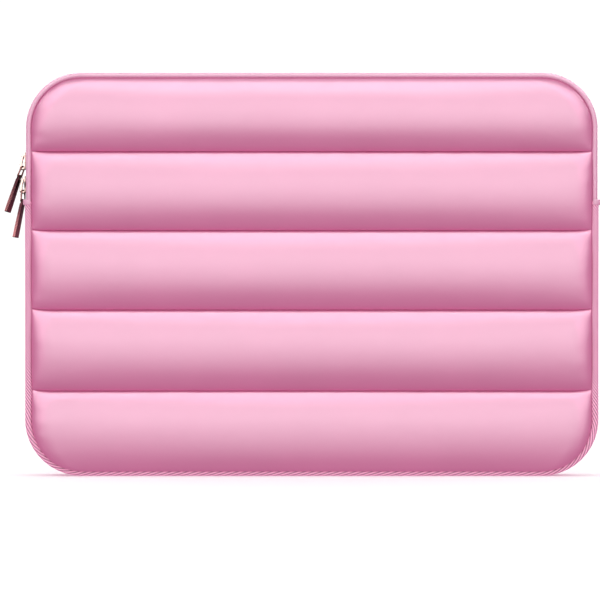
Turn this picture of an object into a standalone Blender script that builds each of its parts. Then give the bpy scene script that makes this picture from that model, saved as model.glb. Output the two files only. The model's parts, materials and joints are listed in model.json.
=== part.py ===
"""Quilted laptop sleeve: two puffed panels, a zipped gusset, two sliders with bar pulls.

Metres, +Z up. The sleeve stands on the flat underside of its gusset, its front faces -Y,
and the origin is the middle of that flat base.
"""

import math

import bmesh
import bpy

# ---- driving dimensions -------------------------------------------------------------------
WIDTH = 0.3555
HEIGHT = 0.2505
CORNER_RADIUS = 0.035
SEAM_HEIGHTS = (0.0532, 0.1034, 0.1526, 0.2012)  # stitched lines between the puffed channels
GAP = 0.0003  # kept between neighbouring solids

EDGE_WIDTH = 0.0042  # binding and lip, measured inwards from the outline
EDGE_DEPTH = 0.0039
LIP_INSET = 0.0005  # the lip above the zip ends sits this far inside the binding's outline
GUSSET_HALF_WIDTH = 0.008
GUSSET_THICKNESS = 0.0010
LINING_THICKNESS = 0.0008

WADDING_AT_SEAM = 0.0015
WADDING_AT_CROWN = 0.0080
SHELL_THICKNESS = 0.0008
EDGE_ROLL = 0.026  # how far from the side edge a channel reaches its full puff
PUFF_POWER = 0.75  # 0.5 is a half ellipse, 1 a parabola

ZIP_END_HEIGHT = 0.171
TAB_BELOW = 0.0030
TAB_ABOVE = 0.0020
TAB_THICKNESS = 0.0012
TAPE_INSET = 0.0015
TAPE_THICKNESS = 0.0006
COIL_INSET = 0.00085
COIL_THICKNESS = 0.0024
COIL_INNER_Y = 0.0010
COIL_OUTER_Y = 0.0032

FOLD_HEIGHT = SEAM_HEIGHTS[-1]
FOLD_AXIS_Y = -0.0124  # just outside the cloth at the seam where the flap folds

SLIDER_LENGTH = 0.0107
SLIDER_NOSE_WIDTH = 0.0086
SLIDER_TAIL_WIDTH = 0.0062
SLIDER_PLATE = 0.0010
SLIDER_SLOT = 0.0034
SLIDER_OUTER_X = -0.1786  # outer face of the outer plate, on the left side of the sleeve
POST_WIDTH = 0.0012
POST_LENGTH = 0.0020
CROWN_WIDTH = 0.0030
UPPER_SLIDER_FOOT = 0.1898
LOWER_SLIDER_FOOT = 0.17515

LINK_RADIUS = 0.00045
LINK_LENGTH = 0.0069
LINK_HALF_WIDTH = 0.0024
BLADE_LENGTH = 0.0244
BLADE_THICKNESS = 0.0029
BLADE_WIDTH = 0.0052
NECK_WIDTH = 0.0030
NECK_LENGTH = 0.0045
EYE_RADIUS = 0.00085
UPPER_TILTS = (21.0, 19.4)  # degrees outwards from hanging straight down: link, blade
LOWER_TILTS = (2.0, 11.9)

CORNER_STEPS = 8
PANEL_COLUMNS = 10
CHANNEL_FRACTIONS = (0.0, 0.1, 0.28, 0.5, 0.72, 0.9)
CLOSEST_ROWS = 0.0025

# ---- derived values -----------------------------------------------------------------------
LINING_INNER_Y = GUSSET_HALF_WIDTH + GAP
LINING_OUTER_Y = LINING_INNER_Y + LINING_THICKNESS
WADDING_BASE_Y = LINING_OUTER_Y + GAP
EDGE_INNER_Y = GUSSET_HALF_WIDTH + GAP
EDGE_OUTER_Y = EDGE_INNER_Y + EDGE_DEPTH
PANEL_INSET = EDGE_WIDTH + GAP
PIVOT_X = SLIDER_OUTER_X - 0.0008  # the link's bar, inside the crown
PIVOT_RISE = 0.00185  # the link's bar above the slider's foot
SEAM_EDGES = (PANEL_INSET, *SEAM_HEIGHTS, HEIGHT - PANEL_INSET)

COLOURS = {  # slot: (linear red, green, blue), roughness, metallic
    "shell": ((0.87, 0.53, 0.68), 0.45, 0.0),
    "lining": ((0.80, 0.50, 0.62), 0.85, 0.0),
    "wadding": ((0.90, 0.88, 0.88), 0.95, 0.0),
    "binding": ((0.75, 0.38, 0.56), 0.75, 0.0),
    "lip": ((0.80, 0.42, 0.58), 0.55, 0.0),
    "zip_tape": ((0.74, 0.38, 0.55), 0.80, 0.0),
    "zip_coil": ((0.82, 0.48, 0.63), 0.40, 0.0),
    "metal": ((0.55, 0.25, 0.26), 0.22, 1.0),
}


# ---- scene helpers ------------------------------------------------------------------------
def clear_scene():
    for obj in list(bpy.data.objects):
        bpy.data.objects.remove(obj, do_unlink=True)


def new_collection(name):
    collection = bpy.data.collections.new(name)
    bpy.context.scene.collection.children.link(collection)
    return collection


def material(slot):
    found = bpy.data.materials.get(slot)
    if found:
        return found
    colour, roughness, metallic = COLOURS[slot]
    made = bpy.data.materials.new(slot)
    made.use_nodes = True
    shader = made.node_tree.nodes["Principled BSDF"]
    shader.inputs["Base Color"].default_value = (*colour, 1.0)
    shader.inputs["Roughness"].default_value = roughness
    shader.inputs["Metallic"].default_value = metallic
    return made


def add_object(name, data, slot):
    obj = bpy.data.objects.new(name, data)
    obj.data.materials.append(material(slot))
    parts.objects.link(obj)
    return obj


def mesh_object(name, bm, slot):
    mesh = bpy.data.meshes.new(name)
    bmesh.ops.recalc_face_normals(bm, faces=bm.faces)
    bm.to_mesh(mesh)
    bm.free()
    return add_object(name, mesh, slot)


def as_mesh(obj):
    """Replaces a curve object with a mesh object whose caps are welded to its sides."""
    bpy.context.view_layer.update()
    graph = bpy.context.evaluated_depsgraph_get()
    mesh = bpy.data.meshes.new_from_object(obj.evaluated_get(graph))
    bm = bmesh.new()
    bm.from_mesh(mesh)
    bmesh.ops.remove_doubles(bm, verts=bm.verts, dist=1e-6)
    bm.to_mesh(mesh)
    bm.free()
    name, matrix = obj.name, obj.matrix_world.copy()
    bpy.data.objects.remove(obj, do_unlink=True)
    made = bpy.data.objects.new(name, mesh)
    made.matrix_world = matrix
    parts.objects.link(made)
    return made


def plate_object(name, outline, y_low, y_high, slot):
    """A closed (x, z) outline, as a flat solid from y_low to y_high."""
    curve = bpy.data.curves.new(name, "CURVE")
    curve.dimensions = "2D"
    curve.fill_mode = "BOTH"
    curve.extrude = (y_high - y_low) / 2
    spline = curve.splines.new("POLY")
    spline.points.add(len(outline) - 1)
    for point, (x, z) in zip(spline.points, outline):
        point.co = (x, z, 0, 1)
    spline.use_cyclic_u = True
    obj = add_object(name, curve, slot)
    obj.rotation_euler.x = math.radians(90)
    obj.location.y = (y_low + y_high) / 2
    return as_mesh(obj)


def box_object(name, low, high, slot):
    bm = bmesh.new()
    bmesh.ops.create_cube(bm, size=1)
    for vert in bm.verts:
        vert.co = [a + (b - a) * (c + 0.5) for a, b, c in zip(low, high, vert.co)]
    return mesh_object(name, bm, slot)


def combine(obj, other, operation):
    modifier = obj.modifiers.new(other.name, "BOOLEAN")
    modifier.operation = operation
    modifier.object = other
    other.hide_render = True
    other.display_type = "WIRE"
    parts.objects.unlink(other)
    cutters.objects.link(other)


def hang_on_fold():
    """Parents the flap's pieces to an empty on the fold's axis."""
    fold = bpy.data.objects.new("flap_fold", None)
    fold.location = (0, FOLD_AXIS_Y, FOLD_HEIGHT)
    parts.objects.link(fold)
    bpy.context.view_layer.update()
    for obj in parts.objects:
        if obj.name.startswith("front_flap_") or obj.name.endswith("_top"):
            obj.parent = fold
            obj.matrix_parent_inverse = fold.matrix_world.inverted()


def round_edges(obj, width, segments):
    modifier = obj.modifiers.new("rounded", "BEVEL")
    modifier.width = width
    modifier.segments = segments
    modifier.limit_method = "ANGLE"
    modifier.angle_limit = math.radians(60)


# ---- outline of the sleeve ----------------------------------------------------------------
def arc(centre_x, centre_z, radius, start, end):
    """Points of a corner, angles in degrees from +X towards +Z."""
    for step in range(CORNER_STEPS + 1):
        angle = math.radians(start + (end - start) * step / CORNER_STEPS)
        yield (centre_x + radius * math.cos(angle), centre_z + radius * math.sin(angle))


def path_around(inset, low_z, high_z):
    """The outline moved inwards by inset, from the left side at one height to the right side.

    It runs under the base when low_z is None, and over the top when high_z is None.
    """
    radius = CORNER_RADIUS - inset
    side = WIDTH / 2 - inset
    centre_x = WIDTH / 2 - CORNER_RADIUS
    if low_z is None:
        bottom = CORNER_RADIUS
        left = arc(-centre_x, bottom, radius, 180, 270)
        right = arc(centre_x, bottom, radius, 270, 360)
        return [(-side, high_z), *left, *right, (side, high_z)]
    top = HEIGHT - CORNER_RADIUS
    left = arc(-centre_x, top, radius, 180, 90)
    right = arc(centre_x, top, radius, 90, 0)
    return [(-side, low_z), *left, *right, (side, low_z)]


def band(name, inset, thickness, y_low, y_high, slot, low_z=None, high_z=None):
    """A strip that follows the outline, thickness measured inwards."""
    outer = path_around(inset, low_z, high_z)
    inner = path_around(inset + thickness, low_z, high_z)
    return plate_object(name, outer + inner[::-1], y_low, y_high, slot)


def side_strip(name, side, inset, thickness, y_low, y_high, slot, low_z, high_z):
    """A straight upright strip on the left (-1) or right (1) side."""
    outer_x = side * (WIDTH / 2 - inset)
    inner_x = side * (WIDTH / 2 - inset - thickness)
    low = (min(outer_x, inner_x), y_low, low_z)
    high = (max(outer_x, inner_x), y_high, high_z)
    return box_object(name, low, high, slot)


def half_width(z, inset):
    """Half the outline's width at a height."""
    radius = CORNER_RADIUS - inset
    reach = max(CORNER_RADIUS - z, z - (HEIGHT - CORNER_RADIUS), 0)
    return WIDTH / 2 - CORNER_RADIUS + math.sqrt(max(radius**2 - reach**2, 0))


# ---- quilted panels -----------------------------------------------------------------------
def panel_rows(low_z, high_z):
    """Heights of a panel's mesh rows: both ends, the seams, the corner arcs and the channels."""
    radius = CORNER_RADIUS - PANEL_INSET
    drops = [radius * (1 - math.cos(math.radians(a))) for a in range(18, 91, 18)]
    arcs = [PANEL_INSET + d for d in drops] + [HEIGHT - PANEL_INSET - d for d in drops]
    channels = [
        below + (above - below) * fraction
        for below, above in zip(SEAM_EDGES, SEAM_EDGES[1:])
        for fraction in CHANNEL_FRACTIONS
    ]
    rows = [low_z, high_z, *(z for z in SEAM_HEIGHTS if low_z < z < high_z)]
    for z in arcs + channels:
        if low_z < z < high_z and min(abs(z - row) for row in rows) > CLOSEST_ROWS:
            rows.append(z)
    return sorted(rows)


def puff(x, z):
    """0 at a seam or an edge, 1 along the middle of a channel."""
    for below, above in zip(SEAM_EDGES, SEAM_EDGES[1:]):
        if z <= above or above == SEAM_EDGES[-1]:
            break
    along = min(max((z - below) / (above - below), 0), 1)
    rise = (4 * along * (1 - along)) ** PUFF_POWER
    from_edge = min((half_width(z, PANEL_INSET) - abs(x)) / EDGE_ROLL, 1)
    roll = math.sqrt(max(1 - (1 - max(from_edge, 0)) ** 2, 0))
    return rise * roll


def panel_sheet(low_z, high_z, depth):
    """An open grid in the sleeve's outline, standing at y = -depth(x, z)."""
    rows = panel_rows(low_z, high_z)
    bm = bmesh.new()
    bmesh.ops.create_grid(
        bm, x_segments=PANEL_COLUMNS, y_segments=len(rows) - 1, size=1
    )
    for vert in bm.verts:
        z = rows[round((vert.co.y + 1) / 2 * (len(rows) - 1))]
        x = half_width(z, PANEL_INSET) * math.sin(vert.co.x * math.pi / 2)
        vert.co = (x, -depth(x, z), z)
    return bm


def wadding_depth(x, z):
    crown = WADDING_AT_CROWN - WADDING_AT_SEAM
    return WADDING_BASE_Y + WADDING_AT_SEAM + crown * puff(x, z)


def panel_solid(name, low_z, high_z, at_back, slot, outer_depth, inner_depth):
    """A panel layer between two depths. Both are measured along Y, so its rim stays in outline."""
    bm = panel_sheet(low_z, high_z, outer_depth)
    pulled = bmesh.ops.extrude_face_region(bm, geom=bm.faces[:])["geom"]
    for item in pulled:
        if isinstance(item, bmesh.types.BMVert):
            item.co.y = -inner_depth(item.co.x, item.co.z)
    if at_back:
        for vert in bm.verts:
            vert.co.y = -vert.co.y
    return mesh_object(name, bm, slot)


def make_shell(name, low_z, high_z, at_back):
    def inner(x, z):
        return wadding_depth(x, z) + GAP

    def outer(x, z):
        return inner(x, z) + SHELL_THICKNESS

    shell = panel_solid(name, low_z, high_z, at_back, "shell", outer, inner)
    shell.data.shade_smooth()
    shell.data.set_sharp_from_angle(angle=math.radians(60))


def make_wadding(name, low_z, high_z, at_back):
    def flat(x, z):
        return WADDING_BASE_Y

    panel_solid(name, low_z, high_z, at_back, "wadding", wadding_depth, flat)


def make_lining(name, low_z, high_z, at_back):
    rows = panel_rows(low_z, high_z)
    ends = [z for z in rows if not CORNER_RADIUS < z < HEIGHT - CORNER_RADIUS]
    heights = sorted({low_z, high_z, *ends})
    left = [(-half_width(z, PANEL_INSET), z) for z in heights]
    right = [(half_width(z, PANEL_INSET), z) for z in reversed(heights)]
    y_low, y_high = -LINING_OUTER_Y, -LINING_INNER_Y
    if at_back:
        y_low, y_high = LINING_INNER_Y, LINING_OUTER_Y
    plate_object(name, left + right, y_low, y_high, "lining")


def make_panel(prefix, low_z, high_z, at_back=False):
    make_shell(prefix + "_shell", low_z, high_z, at_back)
    make_wadding(prefix + "_wadding", low_z, high_z, at_back)
    make_lining(prefix + "_lining", low_z, high_z, at_back)


def make_panels():
    bottom, top = SEAM_EDGES[0], SEAM_EDGES[-1]
    make_panel("back", bottom, top, at_back=True)
    make_panel("front_pocket", bottom, FOLD_HEIGHT - GAP / 2)
    make_panel("front_flap", FOLD_HEIGHT + GAP / 2, top)


# ---- gusset, binding and lip --------------------------------------------------------------
def make_gusset():
    top = ZIP_END_HEIGHT - TAB_BELOW - GAP
    width = GUSSET_HALF_WIDTH
    band("gusset_shell", 0, GUSSET_THICKNESS, -width, width, "shell", high_z=top)
    inset = max(GUSSET_THICKNESS, TAB_THICKNESS) + GAP
    band("gusset_lining", inset, LINING_THICKNESS, -width, width, "lining", high_z=top)


def make_edges():
    """Twill binding below the zip ends, a smoother lip above them, front and back."""
    twill_top = ZIP_END_HEIGHT - GAP / 2
    lip_foot = ZIP_END_HEIGHT + GAP / 2
    lip_width = EDGE_WIDTH - LIP_INSET
    front = (-EDGE_OUTER_Y, -EDGE_INNER_Y)
    back = (EDGE_INNER_Y, EDGE_OUTER_Y)
    edges = [
        band("front_binding", 0, EDGE_WIDTH, *front, "binding", high_z=twill_top),
        band("back_binding", 0, EDGE_WIDTH, *back, "binding", high_z=twill_top),
        band("back_lip", LIP_INSET, lip_width, *back, "lip", low_z=lip_foot),
        band(
            "front_lip_top", LIP_INSET, lip_width, *front, "lip", low_z=FOLD_HEIGHT + GAP / 2
        ),
    ]
    for name, side in (("left", -1), ("right", 1)):
        heights = (lip_foot, FOLD_HEIGHT - GAP / 2)
        edges.append(
            side_strip("front_lip_" + name, side, LIP_INSET, lip_width, *front, "lip", *heights)
        )
    for edge in edges:
        round_edges(edge, 0.0009, 1)


# ---- zip ----------------------------------------------------------------------------------
def make_zip_chain():
    """Tape and coil of each side. The front ones are split where the flap folds."""
    foot = ZIP_END_HEIGHT + TAB_ABOVE + GAP
    fold_low = FOLD_HEIGHT - GAP / 2
    fold_high = FOLD_HEIGHT + GAP / 2
    strips = (
        ("tape", TAPE_INSET, TAPE_THICKNESS, COIL_OUTER_Y + GAP, GUSSET_HALF_WIDTH),
        ("coil", COIL_INSET, COIL_THICKNESS, COIL_INNER_Y, COIL_OUTER_Y),
    )
    for kind, inset, thickness, near, far in strips:
        name, slot = "zip_" + kind, "zip_" + kind
        band(name + "_back", inset, thickness, near, far, slot, low_z=foot)
        band(name + "_front_top", inset, thickness, -far, -near, slot, low_z=fold_high)
        for word, side in (("left", -1), ("right", 1)):
            side_strip(
                f"{name}_front_{word}", side, inset, thickness, -far, -near, slot, foot, fold_low
            )


def make_end_tabs():
    """The folded cloth that closes each end of the zip."""
    heights = (ZIP_END_HEIGHT - TAB_BELOW, ZIP_END_HEIGHT + TAB_ABOVE)
    width = GUSSET_HALF_WIDTH
    for word, side in (("left", -1), ("right", 1)):
        side_strip(
            "zip_end_tab_" + word, side, 0, TAB_THICKNESS, -width, width, "binding", *heights
        )


# ---- sliders and pulls --------------------------------------------------------------------
def slider_plate(name, x_low, foot, nose_up):
    """A plate that narrows from its nose to its tail."""
    low = (x_low, -SLIDER_NOSE_WIDTH / 2, foot)
    high = (x_low + SLIDER_PLATE, SLIDER_NOSE_WIDTH / 2, foot + SLIDER_LENGTH)
    plate = box_object(name, low, high, "metal")
    for vert in plate.data.vertices:
        at_top = vert.co.z > foot + SLIDER_LENGTH / 2
        if at_top != nose_up:
            vert.co.y *= SLIDER_TAIL_WIDTH / SLIDER_NOSE_WIDTH
    return plate


def crown_outline(foot):
    """The arch over the outer plate that holds the link, as (x, z) points."""
    sunk = -0.0004  # below the plate's face, so that the union has one body
    outer = ((0.1, sunk), (0.2, 1.6), (1.2, 2.7), (4.0, 2.7), (8.5, 1.6), (10.0, 0.6), (10.3, sunk))
    inner = ((8.4, sunk), (7.5, 0.9), (4.2, 1.6), (1.9, 1.6), (1.1, 1.2), (1.1, sunk))
    points = []
    for along_mm, rise in outer + inner:
        rise_m = rise if rise < 0 else rise / 1000
        points.append((SLIDER_OUTER_X - rise_m, foot + along_mm / 1000))
    return points


def make_slider(name, foot, nose_up):
    inner_x = SLIDER_OUTER_X + SLIDER_PLATE + SLIDER_SLOT
    body = slider_plate(name, SLIDER_OUTER_X, foot, nose_up)
    inner = slider_plate(name + "_inner_plate", inner_x, foot, nose_up)
    post_z = foot + SLIDER_LENGTH - POST_LENGTH if nose_up else foot
    overlap = SLIDER_PLATE / 2
    post = box_object(
        name + "_post",
        (SLIDER_OUTER_X + overlap, -POST_WIDTH / 2, post_z + GAP),
        (inner_x + overlap, POST_WIDTH / 2, post_z + POST_LENGTH - GAP),
        "metal",
    )
    half = CROWN_WIDTH / 2
    crown = plate_object(name + "_crown", crown_outline(foot), -half, half, "metal")
    for piece in (post, inner, crown):
        combine(body, piece, "UNION")


def make_link(name, pivot, tilt):
    """A wire loop that hangs from its pivot, which is its top bar."""
    curve = bpy.data.curves.new(name, "CURVE")
    curve.dimensions = "3D"
    curve.bevel_depth = LINK_RADIUS
    curve.bevel_resolution = 2
    cut = 0.0006  # corner cut of the loop
    side, foot = LINK_HALF_WIDTH, -LINK_LENGTH
    loop = [
        (side - cut, 0), (side, -cut), (side, foot + cut), (side - cut, foot),
        (cut - side, foot), (-side, foot + cut), (-side, -cut), (cut - side, 0),
    ]
    spline = curve.splines.new("POLY")
    spline.points.add(len(loop) - 1)
    for point, (y, z) in zip(spline.points, loop):
        point.co = (0, y, z, 1)
    spline.use_cyclic_u = True
    link = add_object(name, curve, "metal")
    link.location = pivot
    link.rotation_euler.y = math.radians(tilt)


def make_blade(name, pivot, tilt):
    """A bar with an eye at its top, which turns on the link's lower bar."""
    half = BLADE_THICKNESS / 2
    end = half - BLADE_LENGTH
    turns = [math.radians(180 * step / 8) for step in range(9)]
    cap = [(half * math.cos(a), half * math.sin(a)) for a in turns]
    neck_outline = cap + [(-half, -NECK_LENGTH), (half, -NECK_LENGTH)]
    neck = plate_object(name, neck_outline, -NECK_WIDTH / 2, NECK_WIDTH / 2, "metal")
    bar = box_object(
        name + "_bar",
        (-half, -BLADE_WIDTH / 2, end),
        (half, BLADE_WIDTH / 2, -NECK_LENGTH + 2 * GAP),
        "metal",
    )
    bm = bmesh.new()
    bmesh.ops.create_cone(
        bm, cap_ends=True, segments=16, radius1=EYE_RADIUS, radius2=EYE_RADIUS, depth=BLADE_WIDTH
    )
    eye = mesh_object(name + "_eye", bm, "metal")
    eye.rotation_euler.x = math.radians(90)
    joint = bpy.data.objects.new(name + "_pivot", None)
    parts.objects.link(joint)
    for piece in (neck, bar, eye):
        piece.parent = joint
    joint.location = pivot
    joint.rotation_euler.y = math.radians(tilt)
    combine(neck, bar, "UNION")
    combine(neck, eye, "DIFFERENCE")


def make_pull(word, foot, tilts, nose_up):
    link_tilt, blade_tilt = tilts
    pivot = (PIVOT_X, 0, foot + PIVOT_RISE)
    turn = math.radians(link_tilt)
    lower_pivot = (
        PIVOT_X - LINK_LENGTH * math.sin(turn),
        0,
        pivot[2] - LINK_LENGTH * math.cos(turn),
    )
    make_slider("zip_slider_" + word, foot, nose_up)
    make_link("pull_link_" + word, pivot, link_tilt)
    make_blade("pull_blade_" + word, lower_pivot, blade_tilt)


clear_scene()
parts = new_collection("laptop_sleeve")
cutters = new_collection("cutters")
make_panels()
make_gusset()
make_edges()
make_zip_chain()
make_end_tabs()
hang_on_fold()
make_pull("upper", UPPER_SLIDER_FOOT, UPPER_TILTS, nose_up=False)
make_pull("lower", LOWER_SLIDER_FOOT, LOWER_TILTS, nose_up=True)
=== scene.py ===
"""Looks of the quilted laptop sleeve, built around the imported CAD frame. Metres, +Z up."""

import json
import math

import bmesh
import bpy
import numpy as np
from mathutils import Matrix, Vector, noise


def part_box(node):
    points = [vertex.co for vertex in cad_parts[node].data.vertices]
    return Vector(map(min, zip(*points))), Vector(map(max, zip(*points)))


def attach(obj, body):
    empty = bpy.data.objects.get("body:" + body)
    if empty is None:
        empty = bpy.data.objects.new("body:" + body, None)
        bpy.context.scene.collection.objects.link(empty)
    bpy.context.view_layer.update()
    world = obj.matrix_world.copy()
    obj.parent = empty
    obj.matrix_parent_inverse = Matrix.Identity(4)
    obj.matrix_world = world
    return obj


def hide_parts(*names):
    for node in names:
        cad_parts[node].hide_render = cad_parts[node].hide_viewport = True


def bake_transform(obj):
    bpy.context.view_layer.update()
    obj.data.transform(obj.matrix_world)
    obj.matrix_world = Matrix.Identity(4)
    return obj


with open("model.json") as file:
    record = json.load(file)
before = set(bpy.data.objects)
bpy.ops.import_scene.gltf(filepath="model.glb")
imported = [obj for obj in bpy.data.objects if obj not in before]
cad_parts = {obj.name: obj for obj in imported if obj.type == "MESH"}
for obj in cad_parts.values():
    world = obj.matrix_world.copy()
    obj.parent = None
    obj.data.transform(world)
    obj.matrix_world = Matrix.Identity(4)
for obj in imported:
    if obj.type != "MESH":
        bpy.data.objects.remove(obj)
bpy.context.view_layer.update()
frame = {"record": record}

MM = 0.001

# ---- the frame's sizes --------------------------------------------------------------------
BINDING_LOW, BINDING_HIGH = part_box("front_binding")
LIP_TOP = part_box("front_lip_top")[1][2]
PANEL_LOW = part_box("front_pocket_shell")[0]
JOINTS = {joint["name"]: joint for joint in frame["record"]["behaviour"]["joints"]}

WIDTH = BINDING_HIGH[0] - BINDING_LOW[0]
LIP_INSET = 0.5 * MM
HEIGHT = LIP_TOP + LIP_INSET
CORNER_RADIUS = 35 * MM
SEAM_HEIGHTS = (53.2 * MM, 103.4 * MM, 152.6 * MM, 201.2 * MM)
ZIP_END = BINDING_HIGH[2]  # where the binding stops and the zip begins
PANEL_INSET = PANEL_LOW[0] - BINDING_LOW[0]
PANEL_ROOT = -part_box("front_pocket_wadding")[1][1]  # depth of the panel's flat inner side
PANEL_CROWN = -PANEL_LOW[1]
EDGE_INNER = -BINDING_HIGH[1]
EDGE_OUTER = -BINDING_LOW[1]
GUSSET_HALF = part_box("gusset_shell")[1][1]

# ---- looks --------------------------------------------------------------------------------
SEAM_DEPTH = 10.6 * MM  # how deep the stitched seams lie, from the sleeve's middle
CHANNEL_SAGS = (8.5 * MM, 5.2 * MM, 5.0 * MM, 5.0 * MM, 3.6 * MM)  # settled fill, lowest first
SIDE_ROLL = 14 * MM  # over which a channel's end rounds off
CHANNEL_STEPS = 44
PANEL_COLUMNS = 330
PANEL_TUCK = 3.9 * MM  # inset of the panel's edge, under the binding and the lip
CLOTH_CELL = 2.6 * MM
CLOTH_CAP = 0.8 * MM  # the furthest that the simulation may move the cloth
CLOTH_FRAMES = 20
STITCHED_SWELL = 0.12  # cloth puffed less than this is held still

WORLD_LIGHT = 1.06
WORLD_GLOSS = 0.06
SOFTBOX_DISTANCE = 1.5
SOFTBOX_WIDTH = 4.4
SOFTBOXES = ((6, 0.36, 50), (20, 0.42, 33), (57, 0.58, 106))  # elevation, height, power

RELIEF = 0.4 * MM  # height of the binding's ribs
RELIEF_MIDDLE, RELIEF_SLOPE = 0.55, 1.6  # from a rib's height to its painted shade, 0 to 1
LINK_TURN = 28  # degrees about the pull's own length
BLADE_TURNS = {"upper": 25, "lower": 20}
STITCH_RADIUS, STITCH_RISE = 0.15 * MM, 0.2 * MM

SATIN_PINK = (0.565, 0.112, 0.28)
TWILL_PINK = (0.86, 0.30, 0.52)
# painted shade for the twill's grooves, between the ribs
TWILL_GROOVE_SHADE = (0.30, 0.03, 0.12)
LIP_PINK = (0.56, 0.17, 0.325)
TAPE_PINK = (0.60, 0.19, 0.36)
THREAD_PINK = (0.66, 0.22, 0.40)
COIL_PINK = (0.70, 0.28, 0.45)
LINING_PINK = (0.62, 0.27, 0.42)
SATIN_ROUGHNESS = (0.45, 0.49)
SATIN_WEAVE = 0.46 * MM
ROSE_GOLD = (0.30, 0.21, 0.185)
WIRE_GOLD = (0.10, 0.04, 0.037)
BLADE_REFLECTION_PAINTS = (  # part of the pull, colour at its top, roughness, colour at its tip: copies of one dark plating with painted reflections, lighter toward the tip
    ("edge", (0.03, 0.009, 0.012), 0.2, (0.13, 0.05, 0.052)),
    ("face", (0.05, 0.012, 0.022), 0.12, (0.62, 0.45, 0.60)),
    ("bevel", (0.02, 0.005, 0.009), 0.2, (0.035, 0.015, 0.03)),
)
FLOOR_WHITE = (0.93, 0.92, 0.93)


# ---- mesh helpers -------------------------------------------------------------------------
def add_mesh(name, points, faces, material, smooth_angle=40):
    mesh = bpy.data.meshes.new(name)
    mesh.from_pydata(np.asarray(points).tolist(), [], faces)
    mesh.validate()
    bm = bmesh.new()
    bm.from_mesh(mesh)
    bmesh.ops.recalc_face_normals(bm, faces=bm.faces)
    bm.to_mesh(mesh)
    bm.free()
    mesh.materials.append(material)
    mesh.shade_smooth()
    mesh.set_sharp_from_angle(angle=math.radians(smooth_angle))
    obj = bpy.data.objects.new(name, mesh)
    bpy.context.scene.collection.objects.link(obj)
    return obj


def grid_faces(rows, columns, wrap=False, start=0):
    """Quads between the points of a row-major grid. wrap joins the last column to the first."""
    faces = []
    last = columns if wrap else columns - 1
    for i in range(rows - 1):
        for j in range(last):
            a = start + i * columns + j
            b = start + i * columns + (j + 1) % columns
            faces.append((a, b, b + columns, a + columns))
    return faces


def tube_faces(rings, sides, start=0):
    """A closed tube of rings, with a flat cap at each end."""
    faces = grid_faces(rings, sides, wrap=True, start=start)
    faces.append(tuple(range(start, start + sides)))
    end = start + (rings - 1) * sides
    faces.append(tuple(range(end, end + sides)))
    return faces


# ---- the sleeve's outline -----------------------------------------------------------------
def straight(start, end, normal, step):
    start, end = np.array(start), np.array(end)
    count = max(1, round(float(np.linalg.norm(end - start)) / step))
    return [(start + (end - start) * i / count, np.array(normal, float)) for i in range(count)]


def corner(centre, start, end, step):
    angle = math.radians(end - start)
    count = max(4, round(abs(angle) * CORNER_RADIUS / step))
    found = []
    for i in range(count):
        turn = math.radians(start) + angle * i / count
        normal = np.array((math.cos(turn), math.sin(turn)))
        found.append((np.array(centre) + CORNER_RADIUS * normal, normal))
    return found


def outline(upper, end_z, step, side_step=None):
    """(points, outward normals, lengths) along the outline, in (x, z), from left to right."""
    side_step = side_step or step
    side, centre = WIDTH / 2, WIDTH / 2 - CORNER_RADIUS
    if upper:
        level, middle, turns, up = HEIGHT, HEIGHT - CORNER_RADIUS, (180, 90, 0), 1
    else:
        level, middle, turns, up = 0, CORNER_RADIUS, (180, 270, 360), -1
    first, half, last = turns
    samples = straight((-side, end_z), (-side, middle), (-1, 0), side_step)
    samples += corner((-centre, middle), first, half, step)
    samples += straight((-centre, level), (centre, level), (0, up), step)
    samples += corner((centre, middle), half, last, step)
    samples += straight((side, middle), (side, end_z), (1, 0), side_step)
    samples.append((np.array((side, end_z)), np.array((1.0, 0.0))))
    points = np.array([p for p, _ in samples])
    normals = np.array([n for _, n in samples])
    steps = np.linalg.norm(np.diff(points, axis=0), axis=1)
    return points, normals, np.concatenate([[0], np.cumsum(steps)])


def even_turns(count):
    return np.arange(count) * 2 * math.pi / count


def superellipse(inset, depth, half_inset, half_depth, power, turns):
    """A rounded closed profile of (inset, depth) points, one for each angle in turns."""
    across = np.sign(np.cos(turns)) * np.abs(np.cos(turns)) ** (2 / power)
    out = np.sign(np.sin(turns)) * np.abs(np.sin(turns)) ** (2 / power)
    return np.stack([inset + half_inset * across, depth + half_depth * out], axis=1)


def profile_lengths(profile):
    """Distance of each profile point along the closed profile, and the whole way round."""
    steps = np.linalg.norm(np.roll(profile, -1, axis=0) - profile, axis=1)
    return np.concatenate([[0], np.cumsum(steps)[:-1]]), float(steps.sum())


def profile_normals(profile):
    tangent = np.roll(profile, -1, axis=0) - np.roll(profile, 1, axis=0)
    normal = np.stack([tangent[:, 1], -tangent[:, 0]], axis=1)
    normal /= np.linalg.norm(normal, axis=1, keepdims=True) + 1e-12
    outward = ((profile - profile.mean(axis=0)) * normal).sum()
    return normal if outward > 0 else -normal


def place(points, normals, inset, depth):
    """3-D points at an inset from the outline and a depth in y."""
    flat = points - normals * np.asarray(inset)[..., None]
    return np.stack([flat[..., 0], np.broadcast_to(depth, flat.shape[:-1]), flat[..., 1]], -1)


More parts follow.
